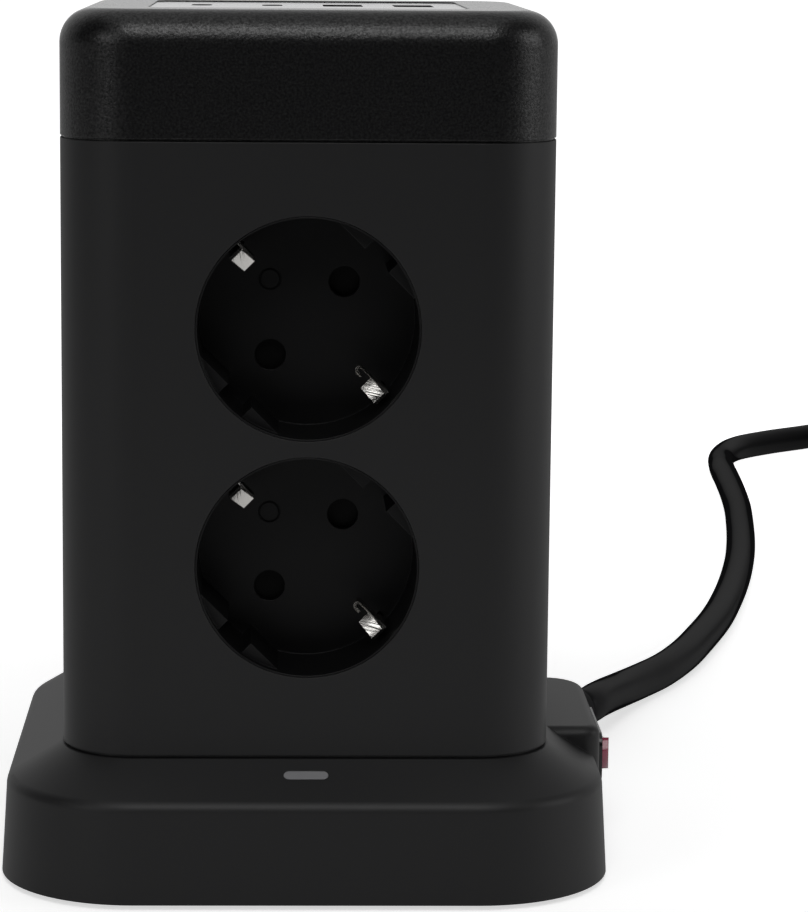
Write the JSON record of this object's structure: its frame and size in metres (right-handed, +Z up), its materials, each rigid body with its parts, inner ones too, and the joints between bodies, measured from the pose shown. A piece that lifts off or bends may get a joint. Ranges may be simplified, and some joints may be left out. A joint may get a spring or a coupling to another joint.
{
  "type": "tower power strip",
  "caption": "Black square tower power strip with round earthed sockets on four sides, charging ports on top, a wide base with a red rocker switch, and a coiled lead with a plug.",
  "frame": {"origin": "centre of the base on the surface it stands on", "axes": "+Z up, -Y towards the front lamp, +X towards the switch"},
  "size_m": [0.3539, 0.5553, 0.159],
  "materials": {
    "shell": "smooth matte black",
    "cap": "fine spark-eroded black",
    "panel": "satin black",
    "socket": "satin black",
    "bezel": "satin black",
    "rocker": "translucent red",
    "lamp": "smoked clear",
    "shutter": "matte grey",
    "steel": "nickel plated",
    "brass": "bare",
    "nylon": "natural",
    "board": "green lacquer",
    "varistor": "blue epoxy",
    "rubber": "matte",
    "cord": "matte sheath",
    "tie": "hook and loop strap"
  },
  "bodies": {
    "strip": {"base_shell": "shell", "base_plate": "shell", "grip_pad": "rubber", "base_screws": "steel", "led_window": "lamp", "led_board": "board", "switch_bezel": "bezel", "switch_body": "bezel", "switch_tabs": "brass", "body_shell": "shell", "tower_screws": "steel", "core_frame": "nylon", "cap": "cap", "usb_panel": "panel", "usb_board": "board", "usb_port_1": "steel", "usb_port_2": "steel", "usb_port_3": "steel", "usb_port_4": "steel", "socket_cup_1": "socket", "socket_cup_2": "socket", "socket_cup_3": "socket", "socket_cup_4": "socket", "socket_cup_5": "socket", "socket_cup_6": "socket", "socket_cup_7": "socket", "socket_cup_8": "socket", "earth_clip_1": "steel", "earth_clip_2": "steel", "earth_clip_3": "steel", "earth_clip_4": "steel", "earth_clip_5": "steel", "earth_clip_6": "steel", "earth_clip_7": "steel", "earth_clip_8": "steel", "live_rail": "brass", "neutral_rail": "brass", "earth_rail": "steel", "surge_board": "board", "varistors": "varistor", "cord_boot": "rubber", "inner_lead": "cord", "cord_clamp": "nylon", "cord_run": "cord", "cord_coil": "cord", "cord_tail": "cord", "coil_tie": "tie", "plug_body": "rubber", "plug_pins": "steel"},
    "rocker": {"rocker": "rocker"},
    "shutter_1": {"shutter_1": "shutter"},
    "shutter_2": {"shutter_2": "shutter"},
    "shutter_3": {"shutter_3": "shutter"},
    "shutter_4": {"shutter_4": "shutter"},
    "shutter_5": {"shutter_5": "shutter"},
    "shutter_6": {"shutter_6": "shutter"},
    "shutter_7": {"shutter_7": "shutter"},
    "shutter_8": {"shutter_8": "shutter"}
  },
  "joints": [
    {"name": "rocker_tilt", "type": "hinge", "parent": "strip", "child": "rocker", "pos_m": [0.0515, 0.0015, 0.016], "axis": [0, 0, 1], "range_deg": [-18, 0]},
    {"name": "shutter_1_turn", "type": "hinge", "parent": "strip", "child": "shutter_1", "pos_m": [0, -0.02435, 0.06], "axis": [0, -1, 0], "range_deg": [0, 48], "stiffness_Nm_per_rad": 0.002, "springref_deg": -11.46},
    {"name": "shutter_2_turn", "type": "hinge", "parent": "strip", "child": "shutter_2", "pos_m": [0, -0.02435, 0.103], "axis": [0, -1, 0], "range_deg": [0, 48], "stiffness_Nm_per_rad": 0.002, "springref_deg": -11.46},
    {"name": "shutter_3_turn", "type": "hinge", "parent": "strip", "child": "shutter_3", "pos_m": [0.02435, 0, 0.06], "axis": [1, 0, 0], "range_deg": [0, 48], "stiffness_Nm_per_rad": 0.002, "springref_deg": -11.46},
    {"name": "shutter_4_turn", "type": "hinge", "parent": "strip", "child": "shutter_4", "pos_m": [0.02435, 0, 0.103], "axis": [1, 0, 0], "range_deg": [0, 48], "stiffness_Nm_per_rad": 0.002, "springref_deg": -11.46},
    {"name": "shutter_5_turn", "type": "hinge", "parent": "strip", "child": "shutter_5", "pos_m": [0, 0.02435, 0.06], "axis": [0, 1, 0], "range_deg": [0, 48], "stiffness_Nm_per_rad": 0.002, "springref_deg": -11.46},
    {"name": "shutter_6_turn", "type": "hinge", "parent": "strip", "child": "shutter_6", "pos_m": [0, 0.02435, 0.103], "axis": [0, 1, 0], "range_deg": [0, 48], "stiffness_Nm_per_rad": 0.002, "springref_deg": -11.46},
    {"name": "shutter_7_turn", "type": "hinge", "parent": "strip", "child": "shutter_7", "pos_m": [-0.02435, 0, 0.06], "axis": [-1, 0, 0], "range_deg": [0, 48], "stiffness_Nm_per_rad": 0.002, "springref_deg": -11.46},
    {"name": "shutter_8_turn", "type": "hinge", "parent": "strip", "child": "shutter_8", "pos_m": [-0.02435, 0, 0.103], "axis": [-1, 0, 0], "range_deg": [0, 48], "stiffness_Nm_per_rad": 0.002, "springref_deg": -11.46}
  ]
}
